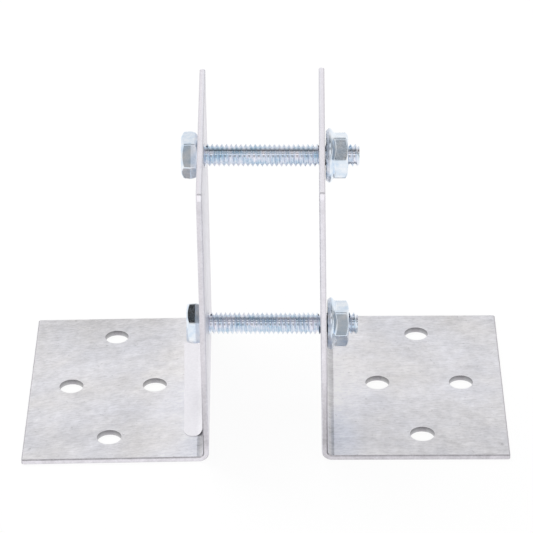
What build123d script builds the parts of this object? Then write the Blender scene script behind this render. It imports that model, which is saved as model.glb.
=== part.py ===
"""Timber post base: two mirrored brackets folded from sheet and drawn together by two bolts.

Frame: X runs across the pair, Y runs along the folds from front to back, and Z is up.
The origin is on the floor under the middle of the pair. Millimetres and degrees.
"""

import os
from math import cos, pi, radians, sin, tan

from build123d import *

# Folded brackets
sheet = 1.59  # thickness of the sheet
bend_radius = 1.2  # on the inside of the fold
depth = 70.5  # along the fold
base_width = 50.8  # from the timber face to the outer edge of the base plate
upright_height = 83.1  # from the floor to the top edge
timber_gap = 31.3  # between the uprights at the floor, half way back
toe_angle = 0.7  # each bracket is turned this far, so the gap is wider at the back
lean_angle = 0.27  # each fold is this far past square, so the uprights lean inwards
corner_radius = 0.5  # on the corners of the blank
edge_break = 0.3  # chamfer where the shears broke the edges

# Anchor holes, four in a diamond in each base plate
anchor_hole = 6.75  # diameter
anchor_fold = 15.7  # from the timber face to the middle of the nearest hole
anchor_end = 11.6  # from the outer edge to the middle of the nearest hole
anchor_edge = 10.075  # from the front or back edge to the middle of the nearest hole

# Bolts through the uprights
lower_bolt_height = 21.65
upper_bolt_edge = 8.25  # from the top edge down to the upper bolt
bolt_diameter = 6.15  # over the crests of a quarter inch thread
bolt_play = 0.6  # clearance in diameter between a bolt and its hole in the sheet
bolt_droop = 0.85  # each bolt slopes down towards its nut, as far as its holes allow
bolt_projection = 2.72  # past the nut, where the uprights stand a timber gap apart
bolt_point = 0.6  # chamfer at the end of the bolt
head_height = 4.4  # with both chamfers
head_crown = 2.65  # part of that height where the flats are square to the seat
head_draft = 5.0  # slope of the flats below the crown
head_circle = 9.2  # diameter of the flat top and of the seat, inside their chamfers
lower_head_turn = 31.3  # from the front, upwards, to a corner of the head
upper_head_turn = 55.7
seat_play = 0.02  # between a seat and the nearest point of its upright

# Hexagons of the heads and nuts
hex_size = 11.11  # across the flats
hex_chamfer = 30.0  # slope of the chamfers

# Nuts with a toothed flange
nut_height = 5.8
nut_top_circle = 10.6  # diameter of the flat top inside its chamfer
thread_play = 0.06  # clearance in diameter between a bolt and the bore of its nut
bore_chamfer = 0.45  # where the bolt comes out of the nut
flange_diameter = 14.7
flange_undercut = 0.7  # from the widest place of the rim in to its foot on the seat
flange_belly = 1.0  # height where the rim is widest
flange_rim = 1.55  # height where the bevelled rim turns into the cone
flange_rounding = 0.4  # from the widest place of the rim in to where the cone starts
flange_slope = 32.0  # slope of the cone from the rim up to the flats
tooth_count = 24
tooth_depth = 0.3
tooth_reach = 1.85  # from the foot of the rim in to where the teeth begin
lower_nut_turn = 0.0  # from the front, upwards, to a corner of the nut
upper_nut_turn = 15.5

# Paper label on the left base plate, beside the fold
label_width = 4.95
label_thickness = 0.15
label_front = 9.725  # from the front edge of the plate to the rounded tip
label_rear = 13.475  # from the back edge of the plate to the square end
label_overlap = 0.365  # how far the paper reaches over the bend, half way back
label_skew = 1.12  # turned away from the fold towards the back
label_lift = 0.81  # from the bend to where the paper leaves the plate
label_curl = 2.2  # radius of the paper where it rides up over the bend

# Places that follow from the sizes
outer_bend_radius = bend_radius + sheet
lean = tan(radians(lean_angle))
toe = tan(radians(toe_angle))
droop = tan(radians(bolt_droop))
pivot_x = timber_gap / 2 + base_width / 2
face_x = -base_width / 2
bend_x = face_x + sheet + bend_radius  # where the bend runs out into the plate
anchor_near = face_x + anchor_fold
anchor_far = base_width / 2 - anchor_end
upper_bolt_height = upright_height - upper_bolt_edge
bolt_hole = bolt_diameter + bolt_play
bolt_length = timber_gap + 2 * sheet + nut_height + bolt_projection  # under the head
nut_bore = bolt_diameter + thread_play
flange_foot = flange_diameter - 2 * flange_undercut
flange_shoulder = flange_diameter - 2 * flange_rounding
tooth_inner = flange_foot - 2 * tooth_reach
label_length = depth - label_front - label_rear
seat_y = base_width / 2 * sin(radians(toe_angle))
hex_turning = hex_size * 0.6  # radius of the turned envelope, just outside the corners


def floor_plane(side):
    """The floor under one bracket, at the middle of its base plate; side is -1 or 1."""
    toe_in = radians(toe_angle)
    return Plane((side * pivot_x, 0, 0), x_dir=(cos(toe_in), -side * sin(toe_in), 0))


def section_plane(side):
    """The upright plane across one bracket, at the middle of its depth, seen from the front."""
    floor = floor_plane(side)
    return Plane(floor.origin, x_dir=floor.x_dir, z_dir=-floor.y_dir)


def outer_face(height):
    """Distance from the middle of the pair to the outside of an upright at this height."""
    return timber_gap / 2 + sheet - height * lean


def seat_distance(side, height, diameter):
    """Where a drooping seat of this diameter just rests on an upright that leans and toes in."""
    return outer_face(height) + diameter / 2 * (abs(lean + side * droop) + toe) + seat_play


# Right bracket, folded from one blank
floor = floor_plane(1)
with BuildPart() as right_bracket:
    with BuildSketch(section_plane(1)):
        with BuildLine():
            fold = FilletPolyline(
                (base_width / 2, 0),
                (face_x, 0),
                (face_x - upright_height * lean, upright_height),
                radius=outer_bend_radius,
            )
            offset(fold, amount=sheet, side=Side.RIGHT, closed=True)
        make_face()
    extrude(amount=depth / 2, both=True)
    corners = right_bracket.edges().filter_by(GeomType.LINE)
    corners = corners.filter_by(lambda edge: abs(edge.length - sheet) < 0.001)
    fillet(corners, corner_radius)
    with BuildSketch(floor):
        middle = (anchor_near + anchor_far) / 2
        with Locations((anchor_near, 0), (anchor_far, 0)):
            Circle(anchor_hole / 2)
        with Locations((middle, depth / 2 - anchor_edge), (middle, anchor_edge - depth / 2)):
            Circle(anchor_hole / 2)
    extrude(amount=sheet, mode=Mode.SUBTRACT)
    front_and_back = right_bracket.faces().sort_by(Axis(floor.origin, floor.y_dir))
    outline = front_and_back[0].edges() + front_and_back[-1].edges()
    outline += right_bracket.faces().sort_by(Axis(floor.origin, floor.x_dir))[-1].edges()
    outline += right_bracket.faces().sort_by(Axis.Z)[-1].edges()
    chamfer(outline, edge_break)
    with BuildSketch(Plane.YZ.offset(timber_gap / 2)):
        with Locations((seat_y, lower_bolt_height), (seat_y, upper_bolt_height)):
            Circle(bolt_hole / 2)
    extrude(amount=2 * sheet, both=True, mode=Mode.SUBTRACT)

# Left bracket, the same fold mirrored
with BuildPart() as left_bracket:
    mirror(right_bracket.part, about=Plane.YZ)

# Hex bolt, modelled with its seat on Z = 0 and its shank along +Z
head_edge = head_crown - head_height  # height of the edge between the flats and their draft
with BuildPart() as bolt:
    with BuildSketch(Plane.XY.offset(head_edge)):
        RegularPolygon(hex_size / 2, 6, major_radius=False)
    extrude(amount=-head_crown)
    with BuildSketch(Plane.XY.offset(head_edge)):
        RegularPolygon(hex_size / 2, 6, major_radius=False)
    extrude(amount=-head_edge, taper=head_draft)
    with BuildSketch(Plane.XZ):
        rise = (hex_turning - head_circle / 2) * tan(radians(hex_chamfer))
        with BuildLine():
            Polyline(
                (0, -head_height),
                (head_circle / 2, -head_height),
                (hex_turning, rise - head_height),
                (hex_turning, -rise),
                (head_circle / 2, 0),
                (0, 0),
                close=True,
            )
        make_face()
    revolve(axis=Axis.Z, mode=Mode.INTERSECT)
    with BuildSketch():
        Circle(bolt_diameter / 2)
    extrude(amount=bolt_length)
    chamfer(bolt.edges().sort_by(Axis.Z)[-1], bolt_point)

# Flange nut, modelled with its seat on Z = 0 and its top along +Z
with BuildPart() as tooth_gap:
    gap_width = pi * tooth_inner / tooth_count
    with BuildSketch(Plane.YZ.offset(tooth_inner / 2)):
        Polygon((-gap_width / 2, 0), (gap_width / 2, 0), (gap_width / 2, tooth_depth), align=None)
    extrude(amount=flange_diameter / 2)

with BuildPart() as nut:
    with BuildSketch(Plane.XY.offset(flange_belly)):
        RegularPolygon(hex_size / 2, 6, major_radius=False)
    extrude(amount=nut_height - flange_belly)
    with BuildSketch(Plane.XZ):
        top_rise = (hex_turning - nut_top_circle / 2) * tan(radians(hex_chamfer))
        with BuildLine():
            Polyline(
                (0, 0),
                (hex_turning, 0),
                (hex_turning, nut_height - top_rise),
                (nut_top_circle / 2, nut_height),
                (0, nut_height),
                close=True,
            )
        make_face()
    revolve(axis=Axis.Z, mode=Mode.INTERSECT)
    with BuildSketch(Plane.XZ):
        cone_rise = flange_shoulder / 2 * tan(radians(flange_slope))
        with BuildLine():
            Polyline(
                (0, 0),
                (flange_foot / 2, 0),
                (flange_diameter / 2, flange_belly),
                (flange_shoulder / 2, flange_rim),
                (0, flange_rim + cone_rise),
                close=True,
            )
        make_face()
    revolve(axis=Axis.Z)
    with PolarLocations(0, tooth_count):
        add(tooth_gap.part, mode=Mode.SUBTRACT)
    Hole(nut_bore / 2)
    chamfer(nut.edges().filter_by(GeomType.CIRCLE).sort_by(Axis.Z)[-1], bore_chamfer)


def across(side, height, turn, distance):
    """A seat on the bolt line, facing along the bolt, with its X towards a hexagon's corner."""
    slope, turned = radians(bolt_droop), radians(turn)
    along = Vector(cos(slope), 0, -sin(slope))
    corner = (sin(turned) * sin(slope), -cos(turned), sin(turned) * cos(slope))
    return Plane((0, seat_y, height) + along * side * distance, x_dir=corner, z_dir=along)


def lay_at(place, finished):
    """One copy of a finished piece, laid on a plane."""
    with BuildPart() as laid:
        with Locations(place):
            add(finished.part)
    return laid


lower_head = seat_distance(-1, lower_bolt_height, head_circle)
upper_head = seat_distance(-1, upper_bolt_height, head_circle)
lower_bolt = lay_at(across(-1, lower_bolt_height, lower_head_turn, lower_head), bolt)
upper_bolt = lay_at(across(-1, upper_bolt_height, upper_head_turn, upper_head), bolt)

lower_nut = seat_distance(1, lower_bolt_height, flange_foot)
upper_nut = seat_distance(1, upper_bolt_height, flange_foot)
lower_flange_nut = lay_at(across(1, lower_bolt_height, lower_nut_turn, lower_nut), nut)
upper_flange_nut = lay_at(across(1, upper_bolt_height, upper_nut_turn, upper_nut), nut)

# Paper label, a strip with one round end that lies on the left plate and rides up the bend
with BuildPart() as label_strip:
    with BuildSketch(section_plane(-1)):
        with BuildLine():
            flat = Line((-base_width / 2, sheet), (-bend_x - label_lift, sheet))
            curl = CenterArc((flat.end_point().X, sheet + label_curl), label_curl, -90, 60)
            offset([flat, curl], amount=label_thickness, side=Side.LEFT, closed=True)
        make_face()
    extrude(amount=depth / 2, both=True)
    label_middle = (label_front - label_rear) / 2
    label_line = label_overlap - label_width / 2 - bend_x
    left_floor = floor_plane(-1)
    under_label = left_floor.shift_origin(left_floor.from_local_coords(Vector(label_line, 0, 0)))
    with BuildSketch(under_label.rotated((0, 0, label_skew))):
        with Locations((0, label_middle + label_width / 4)):
            Rectangle(label_width, label_length - label_width / 2)
        with Locations((0, label_middle - label_length / 2 + label_width / 2)):
            Circle(label_width / 2)
    extrude(amount=outer_bend_radius, mode=Mode.INTERSECT)

pieces = {
    "left_bracket": left_bracket,
    "right_bracket": right_bracket,
    "lower_bolt": lower_bolt,
    "upper_bolt": upper_bolt,
    "lower_flange_nut": lower_flange_nut,
    "upper_flange_nut": upper_flange_nut,
    "label_strip": label_strip,
}
os.makedirs("parts", exist_ok=True)
for name, piece in pieces.items():
    piece.part.label = name
    export_step(piece.part, f"parts/{name}.step")
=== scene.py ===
# %% [markdown]
# This file dresses a timber post base: two brackets folded from steel sheet, drawn together by
# two threaded bolts with toothed flange nuts. The solids come from the CAD frame and never move.
# What this lesson adds is the part that a solid can't hold: brushed steel, bright zinc plating,
# white paper, a real screw thread and the rounded corners of cold-formed hexagons.

# %% Load the frame
from math import atan2, cos, pi, radians, sin, tan

import bmesh
import bpy
from mathutils import Matrix, Quaternion, Vector


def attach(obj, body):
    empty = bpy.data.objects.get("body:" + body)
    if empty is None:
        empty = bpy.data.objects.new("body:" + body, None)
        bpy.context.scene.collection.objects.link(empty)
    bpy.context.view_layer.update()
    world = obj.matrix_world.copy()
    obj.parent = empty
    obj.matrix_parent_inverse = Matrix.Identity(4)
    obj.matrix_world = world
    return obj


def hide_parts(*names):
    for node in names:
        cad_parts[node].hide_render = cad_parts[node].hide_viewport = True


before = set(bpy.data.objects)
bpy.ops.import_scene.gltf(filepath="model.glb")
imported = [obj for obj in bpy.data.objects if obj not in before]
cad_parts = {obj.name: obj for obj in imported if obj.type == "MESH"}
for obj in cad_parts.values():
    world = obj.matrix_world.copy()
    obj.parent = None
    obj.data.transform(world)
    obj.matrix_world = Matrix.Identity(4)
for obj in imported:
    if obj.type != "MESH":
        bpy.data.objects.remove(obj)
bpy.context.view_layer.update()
mm = 0.001

# %% [markdown]
# A product photograph is taken from far away with a long lens, so that upright edges stay nearly
# parallel. The camera stands about 0.7 m off, looks down by a third of a right angle, and is
# rolled by one degree. Blender's camera looks along its own -Z, so a direction becomes a rotation
# with to_track_quat, and the roll is a turn about that same axis.

# %% Camera
camera_place = Vector((8.55, -588.89, 398.45)) * mm
camera_aim = Vector((0.73, 0.36, 40.07)) * mm
camera_roll = radians(-1.04)
lens_length = 170.07
sensor_size = 36.0
nearest_seen = 10 * mm

camera_data = bpy.data.cameras.new("camera")
camera_data.sensor_width = sensor_size
camera_data.lens = lens_length
camera_data.clip_start = nearest_seen
camera = bpy.data.objects.new("camera", camera_data)
bpy.context.scene.collection.objects.link(camera)
bpy.context.scene.camera = camera
view_turn = (camera_aim - camera_place).to_track_quat("-Z", "Y")
camera.rotation_euler = (view_turn @ Quaternion((0, 0, 1), camera_roll)).to_euler()
camera.location = camera_place
bpy.context.scene.view_settings.view_transform = "Standard"
print("camera stands", round((camera_aim - camera_place).length, 3), "m away")

# %% [markdown]
# Every material below is a small tree of nodes. Writing the same four lines for each node hides
# the idea, so one helper makes a node, sets its options, and fills or links its sockets. Two more
# stand for the nodes that are used most: a Math step and a stretched range.


# %% Nodes
def add_node(tree, kind, inputs=None, **options):
    """A new shader node; inputs maps a socket's name or number to a value or another socket."""
    made = tree.nodes.new("ShaderNode" + kind)
    for name, value in options.items():
        setattr(made, name, value)
    for name, value in (inputs or {}).items():
        if isinstance(value, bpy.types.NodeSocket):
            tree.links.new(value, made.inputs[name])
        else:
            made.inputs[name].default_value = value
    return made


def reckon(tree, operation, first, second=0.0, clamp=False):
    """The result of one Math node."""
    made = add_node(tree, "Math", {0: first, 1: second}, operation=operation, use_clamp=clamp)
    return made.outputs[0]


def spread(tree, value, low, high, new_low=0.0, new_high=1.0):
    """A value's range from low to high, stretched to a new range and clamped there."""
    inputs = {0: value, 1: low, 2: high, 3: new_low, 4: new_high}
    return add_node(tree, "MapRange", inputs).outputs[0]


print("nodes are made in Blender", bpy.app.version_string)

# %% [markdown]
# The studio is grey and so is the steel, so most colours here are one level in all three channels.
# A grey is made from a number, or from a value that changes over the surface. Two colours are
# mixed by a share, and a ramp gives a level for each place from 0 to 1.


# %% Greys and ramps
def blend(tree, share, first, second):
    """A mix of two colours."""
    made = add_node(tree, "Mix", {0: share, 6: first, 7: second}, data_type="RGBA")
    return made.outputs[2]


def grey(level):
    """A neutral colour with its alpha."""
    return (level, level, level, 1.0)


def grey_of(tree, level):
    """A neutral colour from a value that changes over the surface."""
    return add_node(tree, "CombineColor", {0: level, 1: level, 2: level}).outputs[0]


def ramp(tree, factor, stops):
    """A colour ramp of grey levels, each at its place from 0 to 1."""
    made = add_node(tree, "ValToRGB", {0: factor})
    points = made.color_ramp.elements
    while len(points) < len(stops):
        points.new(0.5)
    for point, (place, level) in zip(points, stops):
        point.position = place
        point.color = grey(level)
    return made.outputs[0]


print("a middle grey is written as", grey(0.5))

# %% [markdown]
# Metal shows little but its surroundings. Here two white panels hang over the camera with a dark
# gap between them, then comes a black strip overhead, and behind the object a sweep rises to
# white. Panels could be built as lit planes, but a world shader holds them all without one more
# object: the direction of a ray gives its angle over the front horizon, and a ramp the level.

# %% Arc of the studio
studio_arc = [
    (0.00, 0.62),
    (0.09, 0.40),
    (0.165, 0.46),
    (0.19, 1.00),
    (0.28, 1.00),
    (0.297, 0.18),
    (0.34, 0.18),
    (0.36, 0.86),
    (0.42, 0.78),
    (0.455, 0.42),
    (0.475, 0.04),
    (0.515, 0.04),
    (0.54, 0.28),
    (0.62, 0.36),
    (0.70, 0.64),
    (0.77, 0.88),
    (1.00, 0.96),
]
world = bpy.data.worlds.new("studio")
bpy.context.scene.world = world
world.use_nodes = True
world.cycles.sampling_method = "NONE"
sky = world.node_tree
sky.nodes.clear()
ray = add_node(sky, "SeparateXYZ", {0: add_node(sky, "TexCoord").outputs["Generated"]}).outputs
forward = reckon(sky, "MULTIPLY", ray["Y"], -1.0)
turn = reckon(sky, "ARCTAN2", ray["Z"], forward)
arc = ramp(sky, reckon(sky, "DIVIDE", turn, pi, clamp=True), studio_arc)
print("studio arc:", len(studio_arc), "levels from the front, overhead, to the back")

# %% [markdown]
# Both sides of the studio are white too, apart from the far right. They begin close to the middle,
# and further out where a ray climbs. Only glossy rays see this studio. The camera sees plain
# white, as in the photograph, and matt surfaces get even light.

# %% Sides of the studio
even_light = 0.82
side_level = 0.96
far_right_level = 0.42
far_right_start = 0.68
far_right_end = 0.88
side_rise = 0.45
side_start = 0.02
side_end = 0.28

side_edge = reckon(sky, "MULTIPLY", ray["Z"], side_rise)
sideways = reckon(sky, "SUBTRACT", reckon(sky, "ABSOLUTE", ray["X"]), side_edge)
sideways = spread(sky, sideways, side_start, side_end)
side_light = spread(sky, ray["X"], far_right_start, far_right_end, side_level, far_right_level)
studio = blend(sky, sideways, arc, grey_of(sky, side_light))
path = add_node(sky, "LightPath").outputs
seen = blend(sky, path["Is Camera Ray"], grey(even_light), grey(1.0))
seen = blend(sky, path["Is Glossy Ray"], seen, studio)
background = add_node(sky, "Background", {0: seen})
add_node(sky, "OutputWorld", {0: background.outputs[0]})
print("the studio has", len(sky.nodes), "nodes")

# %% [markdown]
# The floor is one large sheet of white paper. In the photograph it is so bright that the shadow
# all but vanishes, so the camera and the metal see mostly an even white, with a small share of the
# lit paper left in it to keep the shadow.

# %% Floor
floor_reach = 4.0
shadow_share = 0.06
paper_white = 0.9

bm = bmesh.new()
bmesh.ops.create_grid(bm, x_segments=1, y_segments=1, size=floor_reach)
floor_mesh = bpy.data.meshes.new("floor")
bm.to_mesh(floor_mesh)
bm.free()
floor = bpy.data.objects.new("floor", floor_mesh)
bpy.context.scene.collection.objects.link(floor)

floor_paper = bpy.data.materials.new("floor_paper")
floor_paper.use_nodes = True
floor_paper.cycles.emission_sampling = "NONE"
tree = floor_paper.node_tree
tree.nodes.clear()
lit = add_node(tree, "BsdfDiffuse", {0: grey(paper_white)}).outputs[0]
white = add_node(tree, "Emission", {0: grey(1.0)}).outputs[0]
path = add_node(tree, "LightPath").outputs
straight = reckon(tree, "MAXIMUM", path["Is Camera Ray"], path["Is Glossy Ray"])
straight = reckon(tree, "MAXIMUM", straight, path["Is Transmission Ray"])
share = reckon(tree, "MULTIPLY", straight, 1.0 - shadow_share)
mixed = add_node(tree, "MixShader", {0: share, 1: lit, 2: white})
add_node(tree, "OutputMaterial", {0: mixed.outputs[0]})
floor.data.materials.append(floor_paper)
print("floor:", 2 * floor_reach, "m wide")

# %% [markdown]
# One soft lamp, high at the back left, gives the faint shadow in front. Glossy rays don't meet it,
# so that no square of light shows on the plating: the world above is all that the metal reflects.

# %% Lamp
lamp_place = Vector((-260, 380, 700)) * mm
lamp_size = 0.45
lamp_power = 4.0

lamp_data = bpy.data.lights.new("softbox", "AREA")
lamp_data.size = lamp_size
lamp_data.energy = lamp_power
lamp = bpy.data.objects.new("softbox", lamp_data)
bpy.context.scene.collection.objects.link(lamp)
lamp.location = lamp_place
lamp.rotation_euler = (camera_aim - lamp_place).to_track_quat("-Z", "Y").to_euler()
lamp.visible_glossy = False
print("softbox", round(lamp_place.length, 2), "m from the object")

# %% [markdown]
# Two effects come back again and again, so each becomes a node group, built once. "Mottle" is the
# patchy cloudiness of any real surface, in every finish here: one noise, stretched to a low and a
# high value. A group gives out a value, and the shader stays outside it.

# %% Mottle
cloud_detail = 3.0
cloud_roughness = 0.55
cloud_low = 0.32
cloud_high = 0.68


def new_group(name, inputs):
    """A shader node group with these inputs and one output called Value."""
    group = bpy.data.node_groups.new(name, "ShaderNodeTree")
    for title, kind in inputs:
        group.interface.new_socket(name=title, in_out="INPUT", socket_type=kind)
    group.interface.new_socket(name="Value", in_out="OUTPUT", socket_type="NodeSocketFloat")
    outside = group.nodes.new("NodeGroupInput").outputs
    return group, outside, group.nodes.new("NodeGroupOutput")


mottle_inputs = [
    ("Vector", "NodeSocketVector"),
    ("Patches per metre", "NodeSocketFloat"),
    ("Low", "NodeSocketFloat"),
    ("High", "NodeSocketFloat"),
]
mottle_group, outside, result = new_group("Mottle", mottle_inputs)
noise_inputs = {"Vector": outside["Vector"], "Scale": outside["Patches per metre"]}
noise_inputs.update({"Detail": cloud_detail, "Roughness": cloud_roughness})
cloud = add_node(mottle_group, "TexNoise", noise_inputs).outputs[0]
cloud = spread(mottle_group, cloud, cloud_low, cloud_high, outside["Low"], outside["High"])
mottle_group.links.new(cloud, result.inputs[0])


def mottle(tree, vector, size, low, high):
    """Cloudiness with patches of about this size."""
    inputs = {"Vector": vector, "Patches per metre": 1.0 / size, "Low": low, "High": high}
    return add_node(tree, "Group", inputs, node_tree=mottle_group).outputs[0]


print("group", mottle_group.name, "has", len(mottle_group.nodes), "nodes")

# %% [markdown]
# "Streaks" are the hair lines that a brushing belt leaves: the same noise, but on a vector that is
# divided by a length one way and by a width the other, so that its patches are drawn out.

# %% Streaks
hair_detail = 2.0
hair_low = 0.3
hair_high = 0.7

streak_inputs = [
    ("Vector", "NodeSocketVector"),
    ("Length", "NodeSocketFloat"),
    ("Width", "NodeSocketFloat"),
]
streak_group, outside, result = new_group("Streaks", streak_inputs)
lie = add_node(streak_group, "SeparateXYZ", {0: outside["Vector"]}).outputs
lengthwise = reckon(streak_group, "DIVIDE", lie["X"], outside["Length"])
crosswise = reckon(streak_group, "DIVIDE", lie["Y"], outside["Width"])
squeezed = add_node(streak_group, "CombineXYZ", {0: lengthwise, 1: crosswise, 2: lie["Z"]})
noise_inputs = {"Vector": squeezed.outputs[0], "Scale": 1.0, "Detail": hair_detail}
hairs = add_node(streak_group, "TexNoise", noise_inputs).outputs[0]
hairs = spread(streak_group, hairs, hair_low, hair_high)
streak_group.links.new(hairs, result.inputs[0])


def streaks(tree, vector, length, width):
    """Hair lines along the vector's X."""
    inputs = {"Vector": vector, "Length": length, "Width": width}
    return add_node(tree, "Group", inputs, node_tree=streak_group).outputs[0]


print("group", streak_group.name, "has", len(streak_group.nodes), "nodes")

# %% [markdown]
# A mask is a value that is 1 inside a zone and 0 outside it. Masks multiply where both must hold,
# and one minus a mask is the rest of the surface. With these few helpers a finish reads like a
# sentence: a level, moved towards another one where a mask says so.


# %% Sums and masks
def total(tree, *values):
    """The sum of several values."""
    result = values[0]
    for value in values[1:]:
        result = reckon(tree, "ADD", result, value)
    return result


def product(tree, *values):
    """Several values multiplied, which for masks is the zone that they share."""
    result = values[0]
    for value in values[1:]:
        result = reckon(tree, "MULTIPLY", result, value)
    return result


def rest_of(tree, mask):
    """The surface outside a mask."""
    return reckon(tree, "SUBTRACT", 1.0, mask)


def above(tree, value, limit):
    """1 where a value is greater than a limit, otherwise 0."""
    return reckon(tree, "GREATER_THAN", value, limit)


def below(tree, value, limit):
    """1 where a value is less than a limit, otherwise 0."""
    return reckon(tree, "LESS_THAN", value, limit)


def between(tree, value, low, high):
    """1 where a value lies between two limits, otherwise 0."""
    return product(tree, above(tree, value, low), below(tree, value, high))


def toward(tree, level, target, share):
    """A level moved a share of the way to another."""
    return total(tree, level, product(tree, reckon(tree, "SUBTRACT", target, level), share))


print("shared effects:", [group.name for group in bpy.data.node_groups])

# %% [markdown]
# Steel, zinc and paper all end in one Principled shader, with different sockets filled. So a
# material needs just two helpers more: one that starts an empty tree, and one that ends it.


# %% Materials
def new_material(name):
    """A material with an empty tree, and that tree."""
    material = bpy.data.materials.new(name)
    material.use_nodes = True
    material.node_tree.nodes.clear()
    return material, material.node_tree


def finish_material(tree, inputs):
    """Ends a tree in a Principled shader with these sockets."""
    shader = add_node(tree, "BsdfPrincipled", inputs)
    add_node(tree, "OutputMaterial", {0: shader.outputs[0]})


print("materials before the first finish:", len(bpy.data.materials))

# %% [markdown]
# The brackets are mill-finished sheet, brushed along the strip before it was cut and folded. The
# lines run across each plate and on up its upright, so the pattern follows the blank: the distance
# from the timber face plus the height is the distance along the strip. The brackets mirror each
# other, so both are laid out from the absolute value of X. On the left one the brushing runs off
# the square, as it does when a blank is nested at an angle on the sheet.

# %% Layout of the blank
sheet = 1.59 * mm
toe_angle = radians(0.7)
timber_face = 15.647 * mm
left_tilt = 0.20
right_tilt = 0.01
side_seed = 3.1

brushed_sheet, tree = new_material("brushed_sheet")
place = add_node(tree, "TexCoord").outputs["Object"]
at = add_node(tree, "SeparateXYZ", {0: place}).outputs
side = reckon(tree, "SIGN", at["X"])
mirrored = {0: reckon(tree, "ABSOLUTE", at["X"]), 1: at["Y"], 2: at["Z"]}
mirrored = add_node(tree, "CombineXYZ", mirrored).outputs[0]
squared = add_node(tree, "Mapping", {0: mirrored, "Rotation": (0, 0, toe_angle)}).outputs[0]
own = add_node(tree, "SeparateXYZ", {0: squared}).outputs
from_face = reckon(tree, "SUBTRACT", own["X"], timber_face)


def by_side(left, right):
    """One value on the left bracket and another on the right."""
    return spread(tree, side, -1.0, 1.0, left, right)


along = total(tree, from_face, own["Z"])
across = total(tree, own["Y"], product(tree, along, by_side(left_tilt, right_tilt)))
layer = product(tree, side, side_seed)
blank = add_node(tree, "CombineXYZ", {0: along, 1: across, 2: layer}).outputs[0]
print("the strip is measured from", timber_face / mm, "mm")

# %% [markdown]
# The rolled faces carry three things: fine lines of two lengths, smears where the belt skipped,
# and slow clouds. Each moves the grey by a few hundredths, since the photograph's plates vary by
# about five parts in a hundred.

# %% Brushed grey
steel_grey = 0.82
long_line = (5 * mm, 0.26 * mm)
short_line = (1.8 * mm, 0.36 * mm)
smear = (11 * mm, 2.6 * mm)
line_low = 0.4
line_high = 1.6
line_swing = 0.085
smear_swing = 0.025
clouds = [(10 * mm, 0.05), (2.5 * mm, 0.04), (0.7 * mm, 0.04)]

lines = total(tree, streaks(tree, blank, *long_line), streaks(tree, blank, *short_line))
lines = spread(tree, lines, line_low, line_high)
rolled = total(
    tree,
    spread(tree, lines, 0.0, 1.0, -line_swing, line_swing),
    spread(tree, streaks(tree, blank, *smear), 0.0, 1.0, -smear_swing, smear_swing),
    *[mottle(tree, blank, size, -swing, swing) for size, swing in clouds],
    steel_grey,
)
print("rolled faces around", steel_grey)

# %% [markdown]
# Both plates are darker towards the front and towards the back, the left one more to its back and
# less to its front. A few specks of dirt sit in the surface, and the tint drifts between a cold and
# a warm grey over a centimetre or two.

# %% Darker ends, specks and tint
dark_front = -6 * mm
dark_back = 11 * mm
dark_fade = 22 * mm
end_darkening = 0.08
left_extra = 0.05
speck_patch = 1.6 * mm
speck_start = 0.965
speck_depth = 0.14
tint_patch = 16 * mm
cold_tint = (0.985, 0.985, 1.045, 1.0)
warm_tint = (1.010, 0.990, 1.000, 1.0)


def back_change(value, change):
    """A change that sets in over the back part of a value's run."""
    return spread(tree, value, dark_back, dark_back + dark_fade, 0.0, change)


specks = mottle(tree, squared, speck_patch, 0.0, 1.0)
rolled = total(
    tree,
    rolled,
    spread(tree, own["Y"], dark_front - dark_fade, dark_front, -end_darkening, 0.0),
    back_change(own["Y"], -end_darkening - left_extra),
    back_change(product(tree, side, own["Y"]), left_extra),
    spread(tree, specks, speck_start, 1.0, 0.0, -speck_depth),
)
drift = mottle(tree, blank, tint_patch, 0.0, 1.0)
tint = blend(tree, drift, cold_tint, warm_tint)
print("worn by up to", end_darkening + left_extra)

# %% [markdown]
# Beside each fold a dark, broken line is painted where the bend starts, as painted shade, and the
# plate next to it is painted a little brighter, as painted light. The line is a narrow peak in the
# distance from the timber face. Inside it the sheet already curves up, and there it gets painted
# shade.

# %% Painted shade and light beside the fold
crease_place = 3.30 * mm
crease_width = 0.26 * mm
crease_shade_depth = 0.12
crease_shade_patch = 1.4 * mm
crease_shade_least = 0.15
plate_skin = 1.2 * sheet
bend_start = 1.7 * mm
bend_shade = 0.25
crease_shade = 0.12
fold_painted_light = 0.16
painted_light_reach = 18 * mm

# Painted shade on the crease line and in the bend, painted light on the plate beside the fold.
off_crease = reckon(tree, "ABSOLUTE", reckon(tree, "SUBTRACT", from_face, crease_place))
crease_line_shade = spread(tree, off_crease, 0.0, crease_width, -crease_shade_depth, 0.0)
broken = mottle(tree, squared, crease_shade_patch, crease_shade_least, 1.0)
on_plate = below(tree, own["Z"], plate_skin)
in_bend = below(tree, from_face, crease_place)
fold_light_and_shade = spread(tree, from_face, crease_place, painted_light_reach, fold_painted_light, 0.0)
deepest = -fold_painted_light - bend_shade
shallowest = -fold_painted_light - crease_shade
bend_painted_shade = spread(tree, from_face, bend_start, crease_place, deepest, shallowest)
fold_light_and_shade = total(tree, fold_light_and_shade, product(tree, bend_painted_shade, in_bend))
rolled = total(tree, rolled, product(tree, crease_line_shade, broken, on_plate), product(tree, fold_light_and_shade, on_plate))
print("crease at", crease_place / mm, "mm from the timber face")

# %% [markdown]
# Shears and punches leave no brushing, so the next finishes need to know where they cut. The
# surface's own normal and place tell: a cut face looks squarely along Y, along X at the plate's
# end, or up at the upright's top. An arris, the broken corner beside it, slants. A hole's wall
# stands upright inside the plate.

# %% Where the sheet was cut
square_on = 0.93
slanting = 0.31
upright_slope = 0.3
plate_top = 1.02 * sheet
plate_end = 62 * mm
upright_top = 81 * mm
hole_reach = 31 * mm
fold_end = 4 * mm

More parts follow.
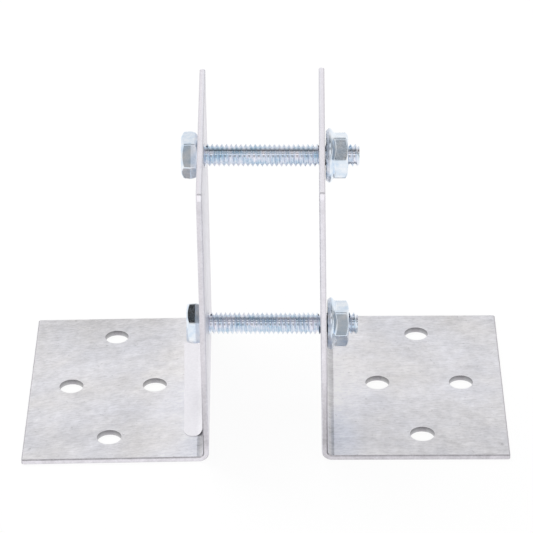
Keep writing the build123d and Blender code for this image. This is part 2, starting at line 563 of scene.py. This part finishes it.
normal = add_node(tree, "NewGeometry").outputs["Normal"]
facing = add_node(tree, "SeparateXYZ", {0: normal}).outputs
facing_x = reckon(tree, "ABSOLUTE", facing["X"])
facing_y = reckon(tree, "ABSOLUTE", facing["Y"])
facing_z = reckon(tree, "ABSOLUTE", facing["Z"])
near_end = above(tree, own["X"], plate_end)
near_top = above(tree, own["Z"], upright_top)

inside = below(tree, reckon(tree, "ABSOLUTE", own["Y"]), hole_reach)
inside = product(tree, inside, rest_of(tree, near_end), above(tree, from_face, fold_end))
upright_wall = below(tree, facing_z, upright_slope)
hole = product(tree, below(tree, own["Z"], plate_top), upright_wall, inside)

cut_end = product(tree, above(tree, facing_x, square_on), near_end)
cut_top = product(tree, above(tree, facing_z, square_on), near_top)
cut = reckon(tree, "MAXIMUM", cut_end, cut_top)
cut = reckon(tree, "MAXIMUM", above(tree, facing_y, square_on), cut)

ends = reckon(tree, "MAXIMUM", near_end, near_top)
arris_x = product(tree, between(tree, facing_x, slanting, square_on), ends)
arris = reckon(tree, "MAXIMUM", between(tree, facing_y, slanting, square_on), arris_x)
arris = product(tree, arris, rest_of(tree, hole))
print("masks: hole walls, cut faces and arrises")

# %% [markdown]
# A cut face is paler and grainy, with smudges that die out up the upright. Its grey changes from
# the plate to the upright and again at the top, and it is darker around the foot.

# %% Grey of the cut faces
left_edge_grey = 0.80
right_edge_grey = 0.66
left_upright_grey = 0.75
right_upright_grey = 0.83
top_edge_grey = 0.95
climb_start = 3 * mm
climb_end = 26 * mm
foot_darkening = 0.13
foot_dark_start = 2 * mm
foot_dark_full = 6 * mm
foot_dark_fade = 16 * mm
foot_dark_end = 34 * mm
grain_patch = 0.5 * mm
grain_swing = 0.04
smudge_patch = 4.0 * mm
smudge_dark = -0.10
smudge_light = 0.06
smudge_loss = 0.75

climb = spread(tree, own["Z"], climb_start, climb_end)
grain = mottle(tree, squared, grain_patch, -grain_swing, grain_swing)
smudge = mottle(tree, squared, smudge_patch, smudge_dark, smudge_light)
smudge = product(tree, smudge, rest_of(tree, product(tree, climb, smudge_loss)))
plate_edge = by_side(left_edge_grey, right_edge_grey)
upright_edge = by_side(left_upright_grey, right_upright_grey)
edge_level = total(
    tree,
    toward(tree, plate_edge, upright_edge, climb),
    spread(tree, own["Z"], foot_dark_start, foot_dark_full, 0.0, -foot_darkening),
    spread(tree, own["Z"], foot_dark_fade, foot_dark_end, 0.0, foot_darkening),
)
cut_level = total(tree, grain, smudge, toward(tree, edge_level, top_edge_grey, near_top))
print("plate edges", left_edge_grey, right_edge_grey)

# %% [markdown]
# The arris is painted dark as painted shade, most of all low on the upright's outer side. The wall
# of a punched hole is smooth at the top, where the punch went in, and torn below; it gets painted
# shade, dark at the top and pale below.

# %% Painted shade on the arrises and the hole walls
plate_arris_shade = 0.56
foot_arris_shade = 0.32
upright_arris_shade = 0.74
inward_limit = -0.2
burr_shade = 0.24
torn_shade = 0.52
torn_end = 0.1 * sheet
burr_start = 0.95 * sheet

# Painted shade on the arrises, darkest low on the upright's outer side.
inward = below(tree, product(tree, facing["X"], side), inward_limit)
arris_climb = reckon(tree, "MAXIMUM", climb, inward)
upright_arris = spread(tree, arris_climb, 0.0, 1.0, foot_arris_shade, upright_arris_shade)
on_upright = above(tree, own["Z"], plate_skin)
arris_shade_level = toward(tree, plate_arris_shade, upright_arris, on_upright)
arris_shade_level = total(tree, grain, smudge, arris_shade_level)
# Painted shade on the hole walls, darkest at the top.
hole_wall_shade = spread(tree, own["Z"], torn_end, burr_start, torn_shade, burr_shade)

level = rolled
for mask, masked in ((cut, cut_level), (arris, arris_shade_level), (hole, hole_wall_shade)):
    level = toward(tree, level, masked, mask)
print("hole walls from", torn_shade, "to", burr_shade)

# %% [markdown]
# The last step joins the grey and its tint, and sends them to the shader with a roughness that
# follows the lines. A tenth of the surface is left non-metallic: real sheet scatters a little
# light from its oxide, which is what keeps the corners between faces from going black.

# %% Sheet shader
sheet_metallic = 0.90
smoothest = 0.30
roughest = 0.40
cut_roughness = 0.15
line_bump = 0.3
line_relief = 0.01 * mm
inner_face_end = 0.3 * mm
cut_tint = (1.000, 0.972, 1.030, 1.0)
inner_tint = (0.995, 0.983, 1.045, 1.0)

rough = reckon(tree, "MAXIMUM", cut, arris)
tint = blend(tree, rough, tint, cut_tint)
tint = blend(tree, below(tree, from_face, inner_face_end), tint, inner_tint)
tinting = {0: 1.0, 6: grey_of(tree, level), 7: tint}
mixed = add_node(tree, "Mix", tinting, data_type="RGBA", blend_type="MULTIPLY")
roughness = spread(tree, lines, 0.0, 1.0, smoothest, roughest)
roughness = total(tree, roughness, product(tree, rough, cut_roughness))
relief = product(tree, lines, rest_of(tree, rough))
bump_inputs = {"Strength": line_bump, "Distance": line_relief, "Height": relief}
sheet_inputs = {
    "Base Color": mixed.outputs[2],
    "Metallic": sheet_metallic,
    "Roughness": roughness,
    "Normal": add_node(tree, "Bump", bump_inputs).outputs[0],
}
finish_material(tree, sheet_inputs)

for node in ("left_bracket", "right_bracket"):
    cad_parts[node].data.materials.clear()
    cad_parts[node].data.materials.append(brushed_sheet)
print("sheet material:", len(tree.nodes), "nodes")

# %% [markdown]
# Bolts and nuts are zinc plated: a hard, thin, bluish layer over cold-formed steel. It is much
# glossier than the sheet, and keeps the fine dimples of the dies. The tint drifts between blue and
# white over a few millimetres, which one Mottle sets, and two finer ones set gloss and dimples.
# Rolling leaves a thread a little duller, and its blue is darker as painted shade, so the shanks
# get the same finish with other values.

# %% Zinc plating
zinc_metallic = 0.985
drift_patch = 2.4 * mm
gloss_patch = 0.9 * mm
gloss_swing = 0.10
dimple_patch = 0.55 * mm
dimple_bump = 0.5
head_blue = (0.66, 0.77, 0.90, 1.0)
head_white = (0.90, 0.93, 0.97, 1.0)
head_gloss = 0.05
head_dimple = 0.004 * mm
# The thread's blue is darker than the head's: painted shade on the shanks.
thread_shaded_blue = (0.60, 0.73, 0.84, 1.0)
thread_white = (0.93, 0.92, 0.97, 1.0)
thread_gloss = 0.09
thread_dimple = 0.01 * mm


def zinc_plate(name, blue, white, gloss, dimple):
    """Bright zinc plating that drifts between two tints."""
    material, tree = new_material(name)
    place = add_node(tree, "TexCoord").outputs["Object"]
    drift = mottle(tree, place, drift_patch, 0.0, 1.0)
    dimples = mottle(tree, place, dimple_patch, 0.0, 1.0)
    bump_inputs = {"Strength": dimple_bump, "Distance": dimple, "Height": dimples}
    inputs = {
        "Base Color": blend(tree, drift, blue, white),
        "Metallic": zinc_metallic,
        "Roughness": mottle(tree, place, gloss_patch, gloss, gloss + gloss_swing),
        "Normal": add_node(tree, "Bump", bump_inputs).outputs[0],
    }
    finish_material(tree, inputs)
    return material


plated = zinc_plate("bright_zinc", head_blue, head_white, head_gloss, head_dimple)
plated_thread_shaded = zinc_plate(
    "shaded_thread_zinc", thread_shaded_blue, thread_white, thread_gloss, thread_dimple
)
print("zinc:", plated.name, plated_thread_shaded.name)

# %% [markdown]
# The label is plain white paper. Paper is matt and never quite even, so a fine Mottle changes its
# white by a few hundredths, and its bump stands for the fibres.

# %% Paper
label_white = (0.765, 0.755, 0.785, 1.0)
label_shade = (0.715, 0.705, 0.735, 1.0)
label_roughness = 0.6
fibre_patch = 0.8 * mm
fibre_bump = 0.2
fibre_relief = 0.02 * mm

label_paper, tree = new_material("label_paper")
place = add_node(tree, "TexCoord").outputs["Object"]
fibres = mottle(tree, place, fibre_patch, 0.0, 1.0)
bump_inputs = {"Strength": fibre_bump, "Distance": fibre_relief, "Height": fibres}
label_inputs = {
    "Base Color": blend(tree, fibres, label_shade, label_white),
    "Roughness": label_roughness,
    "Normal": add_node(tree, "Bump", bump_inputs).outputs[0],
}
finish_material(tree, label_inputs)
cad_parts["label_strip"].data.materials.clear()
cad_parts["label_strip"].data.materials.append(label_paper)
print("label:", label_paper.name)

# %% [markdown]
# Cold forming leaves no sharp corner, and those soft corners carry the brightest lines of the
# photograph. Each head and nut is made as a machinist would: a blank is turned round its axis, and
# then the flats are cut. The blank is a chain of points carried round by spin.

# %% Turning
weld_distance = 0.001 * mm
turning_steps = 192


def divided(points):
    """A chain of (radius, height, pieces), with each stretch to a point cut into its pieces."""
    chain = [points[0][:2]]
    for (r0, h0, _), (r1, h1, pieces) in zip(points, points[1:]):
        for i in range(1, pieces + 1):
            chain.append((r0 + (r1 - r0) * i / pieces, h0 + (h1 - h0) * i / pieces))
    return chain


def turned(chain, ring=False):
    """The solid that a chain of (radius, height) sweeps round the Z axis."""
    bm = bmesh.new()
    points = [bm.verts.new((radius, 0, height)) for radius, height in chain]
    lines = [bm.edges.new(pair) for pair in zip(points, points[1:])]
    if ring:
        lines.append(bm.edges.new((points[-1], points[0])))
    bmesh.ops.spin(
        bm,
        geom=points + lines,
        cent=(0, 0, 0),
        axis=(0, 0, 1),
        angle=2 * pi,
        steps=turning_steps,
        use_merge=True,
    )
    bmesh.ops.remove_doubles(bm, verts=bm.verts, dist=weld_distance)
    return bm


def closed(bm):
    """True if every edge has two faces."""
    return all(len(edge.link_faces) == 2 for edge in bm.edges)


print("a turned blank has", turning_steps, "steps")

# %% [markdown]
# A cut moves every point that stands too far out back to the flat. Taking the smaller of two
# distances would leave a sharp corner, so a smooth minimum is used, which rounds it over a chosen
# width. The same minimum of two neighbouring flats is the hexagon's rounded corner.

# %% Cutting
hex_flat = 11.11 / 2 * mm
corner_width = 0.22 * mm


def soft_min(first, second, width):
    """The smaller value, rounded where the two are closer than this width."""
    near = max(width - abs(first - second), 0.0) / width
    return min(first, second) - near * near * width / 4


def soft_max(first, second, width):
    """The larger value, rounded in the same way."""
    return -soft_min(-first, -second, width)


def hex_reach(angle, flat, width):
    """Distance from the axis to a rounded hexagon with a corner at angle 0."""
    off_flat = (angle % (pi / 3)) - pi / 6
    own_flat = flat / cos(off_flat)
    next_flat = flat / cos(pi / 3 - abs(off_flat))
    return soft_min(own_flat, next_flat, width)


def cut_to(bm, shape):
    """Moves each vertex to the (radius, height) that shape gives for its angle and place."""
    for vert in bm.verts:
        radius = vert.co.xy.length
        if radius < weld_distance:
            continue
        angle = atan2(vert.co.y, vert.co.x)
        new_radius, new_height = shape(angle, radius, vert.co.z)
        vert.co.xy *= new_radius / radius
        vert.co.z = new_height


print("a hexagon's corner stands", round(hex_reach(0, hex_flat, corner_width) / mm, 2), "mm out")

# %% [markdown]
# The head is chamfered on both sides, and from the line where the two dies met its flats draw in
# towards both ends, so that the forging could leave them. In the photograph that line parts each
# flat into two tones.

# %% Bolt head
chamfer_slope = tan(radians(30))
blank_radius = 7.50 * mm
edge_width = 0.45 * mm
head_height = 4.4 * mm
head_circle = 5.1 * mm
die_line = -1.85 * mm
seat_draft = tan(radians(12))
outer_draft = tan(radians(4))
face_pieces = 3
chamfer_pieces = 16
flat_pieces = 8


def head_shape(corner):
    """Cuts the flats of a head with a corner at this angle."""

    def shape(angle, radius, height):
        draft = max((height - die_line) * seat_draft, (die_line - height) * outer_draft)
        reach = hex_reach(angle - corner, hex_flat - draft, corner_width)
        return soft_min(radius, reach, edge_width), height

    return shape


def make_head(corner):
    """A forged head with its seat on Z = 0."""
    rise = (blank_radius - head_circle) * chamfer_slope
    points = [
        (0, -head_height, 1),
        (head_circle, -head_height, face_pieces),
        (blank_radius, rise - head_height, chamfer_pieces),
        (blank_radius, -rise, flat_pieces),
        (head_circle, 0, chamfer_pieces),
        (0, 0, face_pieces),
    ]
    bm = turned(divided(points))
    cut_to(bm, head_shape(corner))
    return bm


trial = make_head(0)
print("a head has", len(trial.faces), "faces and is closed:", closed(trial))
trial.free()

# %% [markdown]
# The nut's blank is one wall, which the flange shapes up to the flats. Seen from the side a flange
# is three straight lines: a rim that widens upwards, a bevel over it, and a cone. Forging leaves no
# sharp turn between them, so the smooth minimum joins all three.

# %% Flange
foot_radius = 6.65 * mm
rim_radius = 7.50 * mm
rim_height = 1.0 * mm
rim_slope = (rim_radius - foot_radius) / rim_height
shoulder_radius = 6.95 * mm
shoulder_height = 1.55 * mm
bevel_slope = (rim_radius - shoulder_radius) / (shoulder_height - rim_height)
cone_slope = tan(radians(32))
rim_width = 0.80 * mm
shoulder_width = 0.35 * mm


def flange_reach(height):
    """Radius of the flange and its cone at this height above the seat."""
    under = foot_radius + height * rim_slope
    over = rim_radius - (height - rim_height) * bevel_slope
    cone = shoulder_radius - (height - shoulder_height) / cone_slope
    return soft_min(soft_min(under, over, rim_width), cone, shoulder_width)


print("the rounded rim reaches", round(flange_reach(rim_height) / mm, 2), "mm from the axis")

# %% [markdown]
# Over the flange the wall is a hexagon under a chamfer. A smooth maximum joins the two, and its
# fillet is the white crescent between cone and flat. The rim's foot is cut into teeth: over half
# of each pitch the seat ramps up.

# %% Flange nut
nut_height = 5.8 * mm
nut_circle = 5.3 * mm
nut_bore = 3.105 * mm
bore_chamfer = 0.45 * mm
fillet_width = 0.45 * mm
tooth_count = 24
tooth_depth = 0.10 * mm
tooth_inner = 4.8 * mm
tooth_ramp = 0.499
wall_start = 0.36 * mm
wall_pieces = 54
cutting_radius = 9 * mm
wall_limit = 8 * mm


def nut_shape(corner):
    """Cuts the wall and the teeth of a nut with a corner at this angle."""

    def shape(angle, radius, height):
        if radius > wall_limit:
            chamfer = nut_circle + (nut_height - height) / chamfer_slope
            flats = hex_reach(angle - corner, hex_flat, corner_width)
            flats = soft_min(flats, chamfer, corner_width)
            return soft_max(flange_reach(height), flats, fillet_width), height
        if abs(radius - foot_radius) < weld_distance:
            pitch_part = (angle * tooth_count / (2 * pi)) % 1.0
            return radius, tooth_depth * (2 * pitch_part if pitch_part < tooth_ramp else 0.0)
        return radius, height

    return shape


def make_nut(corner):
    """A forged flange nut with its seat on Z = 0."""
    points = [
        (nut_bore, 0, 1),
        (tooth_inner, 0, 1),
        (foot_radius, 0, 1),
        (cutting_radius, wall_start, 1),
        (cutting_radius, nut_height, wall_pieces),
        (nut_bore + bore_chamfer, nut_height, 1),
        (nut_bore, nut_height - bore_chamfer, 1),
    ]
    bm = turned(divided(points), ring=True)
    cut_to(bm, nut_shape(corner))
    return bm


trial = make_nut(0)
print("a nut has", len(trial.faces), "faces and is closed:", closed(trial))
trial.free()

# %% [markdown]
# The bolts are threaded from end to end, 20 threads to the inch. One groove's profile is all that
# has to be drawn: a flat root, two flanks at sixty degrees to each other, and a narrow crest. Root
# and crest turn into the flanks in small steps, so that smooth shading rounds them.

# %% Thread profile
bolt_radius = 3.075 * mm
thread_pitch = 1.27 * mm
thread_depth = 0.74 * mm
crest_flat = 0.12 * mm
crest_round = 0.05 * mm
flank_run = thread_depth * tan(radians(30))
root_flat = thread_pitch - crest_flat - 2 * flank_run
root_inset = 0.2
crest_inset = 0.35


def thread_profile(bm, start):
    """One pitch of the groove as a chain of edges beside the Z axis."""
    low = bolt_radius - thread_depth
    crest_start = root_flat + flank_run
    shape = [
        (low + crest_round, 0.0),
        (low, root_flat * root_inset),
        (low, root_flat * (1 - root_inset)),
        (low + crest_round, root_flat),
        (bolt_radius - crest_round, crest_start),
        (bolt_radius, crest_start + crest_flat * crest_inset),
        (bolt_radius, crest_start + crest_flat * (1 - crest_inset)),
        (bolt_radius - crest_round, crest_start + crest_flat),
        (low + crest_round, thread_pitch),
    ]
    points = [bm.verts.new((radius, 0.0, start + height)) for radius, height in shape]
    lines = [bm.edges.new(pair) for pair in zip(points, points[1:])]
    return points + lines


print("thread root", round((bolt_radius - thread_depth) / mm, 2), "mm from the axis")

# %% [markdown]
# A screw thread is that profile carried round the axis while it climbs by one pitch a turn, and
# spin does just that when it is given a step along the axis. The turns are merged, the ends are
# cut square, and the tip's chamfer pulls the last crests in.

# %% Threaded rod
steps_a_turn = 48
spare_turns = 2
point_chamfer = 0.6 * mm
thread_overlap = 0.3 * mm


def cut_square(bm, height, upper):
    """Cuts a mesh across Z, drops one side and closes the cut."""
    cut = bmesh.ops.bisect_plane(
        bm,
        geom=bm.verts[:] + bm.edges[:] + bm.faces[:],
        plane_co=(0, 0, height),
        plane_no=(0, 0, 1),
        clear_outer=upper,
        clear_inner=not upper,
    )
    rim = [part for part in cut["geom_cut"] if isinstance(part, bmesh.types.BMEdge)]
    bmesh.ops.triangle_fill(bm, edges=rim, use_beauty=True, use_dissolve=True)


def screw_thread(length):
    """A closed threaded rod along Z, with its start inside the head and a chamfered tip."""
    bm = bmesh.new()
    profile = thread_profile(bm, -spare_turns * thread_pitch)
    turns = int(length / thread_pitch) + 2 * spare_turns
    bmesh.ops.spin(
        bm,
        geom=profile,
        cent=(0, 0, 0),
        axis=(0, 0, 1),
        dvec=(0, 0, thread_pitch / steps_a_turn),
        angle=2 * pi * turns,
        steps=steps_a_turn * turns,
    )
    bmesh.ops.remove_doubles(bm, verts=bm.verts, dist=weld_distance)
    cut_square(bm, -thread_overlap, upper=False)
    cut_square(bm, length, upper=True)
    for vert in bm.verts:
        reach = vert.co.xy.length
        limit = bolt_radius - point_chamfer + (length - vert.co.z)
        if reach > limit:
            vert.co.xy *= limit / reach
    return bm


print("each step round the rod climbs", round(thread_pitch / steps_a_turn / mm, 4), "mm")

# %% [markdown]
# A finished mesh becomes an object that rides the part's one body and stands for a CAD node. Its
# faces are shaded smooth, apart from edges that turn by more than a set angle. A seat's place is
# measured on the CAD node along the bolt's own axis, so that no piece can drift from its solid.

# %% Placing helpers
sharp_angle = radians(38)


def reach_along(node, axis):
    """Lowest and highest place of a CAD node along an axis."""
    backwards = axis.inverted()
    places = [(backwards @ vert.co).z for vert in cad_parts[node].data.vertices]
    return min(places), max(places)


def corner_angle(turn):
    """The angle round a bolt's own axis of a corner turned upwards from the front."""
    return atan2(-cos(turn), -sin(turn))


def stand_at(bm, axis, seat):
    """Moves a mesh from the Z axis to its seat on a bolt's own axis."""
    bmesh.ops.transform(bm, matrix=axis @ Matrix.Translation((0, 0, seat)), verts=bm.verts)


def show_piece(name, bm, node, materials):
    """Makes a finished mesh object that stands for a CAD node."""
    bmesh.ops.recalc_face_normals(bm, faces=bm.faces)
    mesh = bpy.data.meshes.new(name)
    bm.to_mesh(mesh)
    bm.free()
    mesh.shade_smooth()
    mesh.set_sharp_from_angle(angle=sharp_angle)
    for material in materials:
        mesh.materials.append(material)
    piece = bpy.data.objects.new(name, mesh)
    bpy.context.scene.collection.objects.link(piece)
    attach(piece, "root")
    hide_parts(node)
    print(name, "has", len(mesh.polygons), "faces")


# %% [markdown]
# Now the pieces go where the CAD has them. Both bolts slope down a little towards their nuts, so
# each has a matrix of its own, with Z along the bolt. The head's outer end and the nut's seat are
# the lowest points of their nodes along it. The head and its rod are two closed shapes in one
# mesh, each with its own finish.

# %% Bolts and nuts in place
bolt_droop = radians(0.85)
axis_y = 0.3103 * mm
axis_heights = {"lower": 21.65 * mm, "upper": 74.85 * mm}
head_corners = {"lower": radians(31.3), "upper": radians(55.7)}
nut_corners = {"lower": radians(0.0), "upper": radians(15.5)}

for which, height in axis_heights.items():
    axis = Matrix.Translation((0, axis_y, height)) @ Matrix.Rotation(pi / 2 + bolt_droop, 4, "Y")
    bolt_node = which + "_bolt"
    nut_node = which + "_flange_nut"

    start, end = reach_along(bolt_node, axis)
    seat = start + head_height
    bm = screw_thread(end - seat)
    for face in bm.faces:
        face.material_index = 1
    head = make_head(corner_angle(head_corners[which]))
    head_mesh = bpy.data.meshes.new("head")
    head.to_mesh(head_mesh)
    head.free()
    bm.from_mesh(head_mesh)
    bpy.data.meshes.remove(head_mesh)
    stand_at(bm, axis, seat)
    print(bolt_node, "seat at", round(seat / mm, 2), "closed:", closed(bm))
    show_piece(which + "_threaded_bolt", bm, bolt_node, [plated, plated_thread_shaded])

    seat, end = reach_along(nut_node, axis)
    bm = make_nut(corner_angle(nut_corners[which]))
    stand_at(bm, axis, seat)
    print(nut_node, "seat at", round(seat / mm, 2), "closed:", closed(bm))
    show_piece(which + "_toothed_nut", bm, nut_node, [plated])
